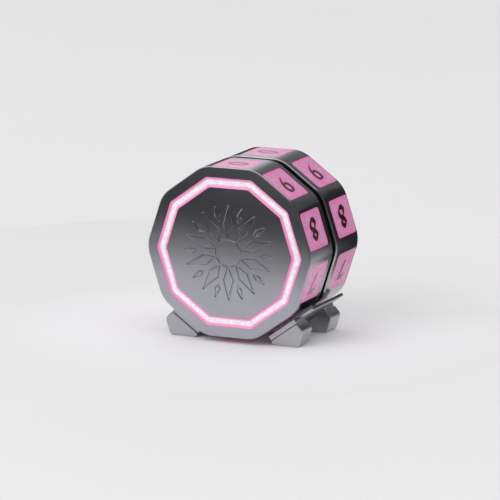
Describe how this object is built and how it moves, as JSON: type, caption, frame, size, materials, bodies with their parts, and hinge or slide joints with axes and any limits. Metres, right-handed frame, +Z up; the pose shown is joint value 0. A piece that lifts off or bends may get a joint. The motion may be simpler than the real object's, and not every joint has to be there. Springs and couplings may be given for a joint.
{
  "type": "life counter",
  "caption": "Life counter for card games: two decagonal number dials turn side by side on one axle and rest in a low cradle stand with splayed feet.",
  "frame": {"origin": "on the floor, below the middle of the barrel", "axes": "+Y along the barrel's axis, from the units dial to the tens dial; +Z up; the digits are upright for a reader on the -X side"},
  "size_m": [0.0452, 0.0302, 0.0453],
  "materials": {
    "black_paint": "satin black over zinc casting",
    "stand_paint": "satin black over zinc casting",
    "pink_enamel": "gloss glitter enamel, orchid pink",
    "ring_enamel": "gloss glitter enamel, hot pink to white pink",
    "cover_plate": "satin dark grey",
    "magnet_nickel": "bright nickel plate",
    "bush_brass": "turned",
    "axle_steel": "ground",
    "clip_steel": "dark spring steel"
  },
  "bodies": {
    "stand": {"stand": "stand_paint"},
    "spindle": {"axle": "axle_steel", "units_clip": "clip_steel", "tens_clip": "clip_steel"},
    "units_dial": {"units_shell": "black_paint", "units_ring_enamel": "ring_enamel", "units_cover": "cover_plate", "units_bush": "bush_brass", "units_window_0": "pink_enamel", "units_magnet_0": "magnet_nickel", "units_window_1": "pink_enamel", "units_magnet_1": "magnet_nickel", "units_window_2": "pink_enamel", "units_magnet_2": "magnet_nickel", "units_window_3": "pink_enamel", "units_magnet_3": "magnet_nickel", "units_window_4": "pink_enamel", "units_magnet_4": "magnet_nickel", "units_window_5": "pink_enamel", "units_magnet_5": "magnet_nickel", "units_window_6": "pink_enamel", "units_magnet_6": "magnet_nickel", "units_window_7": "pink_enamel", "units_magnet_7": "magnet_nickel", "units_window_8": "pink_enamel", "units_magnet_8": "magnet_nickel", "units_window_9": "pink_enamel", "units_magnet_9": "magnet_nickel"},
    "tens_dial": {"tens_shell": "black_paint", "tens_ring_enamel": "ring_enamel", "tens_cover": "cover_plate", "tens_bush": "bush_brass", "tens_window_0": "pink_enamel", "tens_magnet_0": "magnet_nickel", "tens_window_1": "pink_enamel", "tens_magnet_1": "magnet_nickel", "tens_window_2": "pink_enamel", "tens_magnet_2": "magnet_nickel", "tens_window_3": "pink_enamel", "tens_magnet_3": "magnet_nickel", "tens_window_4": "pink_enamel", "tens_magnet_4": "magnet_nickel", "tens_window_5": "pink_enamel", "tens_magnet_5": "magnet_nickel", "tens_window_6": "pink_enamel", "tens_magnet_6": "magnet_nickel", "tens_window_7": "pink_enamel", "tens_magnet_7": "magnet_nickel", "tens_window_8": "pink_enamel", "tens_magnet_8": "magnet_nickel", "tens_window_9": "pink_enamel", "tens_magnet_9": "magnet_nickel"}
  },
  "joints": [
    {"name": "barrel_lift", "type": "slide", "parent": "stand", "child": "spindle", "axis": [0, 0, 1], "range_m": [0, 0.035]},
    {"name": "units_turn", "type": "hinge", "parent": "spindle", "child": "units_dial", "pos_m": [0, -0.008, 0.02344], "axis": [0, 1, 0], "continuous": true},
    {"name": "tens_turn", "type": "hinge", "parent": "spindle", "child": "tens_dial", "pos_m": [0, 0.008, 0.02344], "axis": [0, 1, 0], "continuous": true}
  ]
}
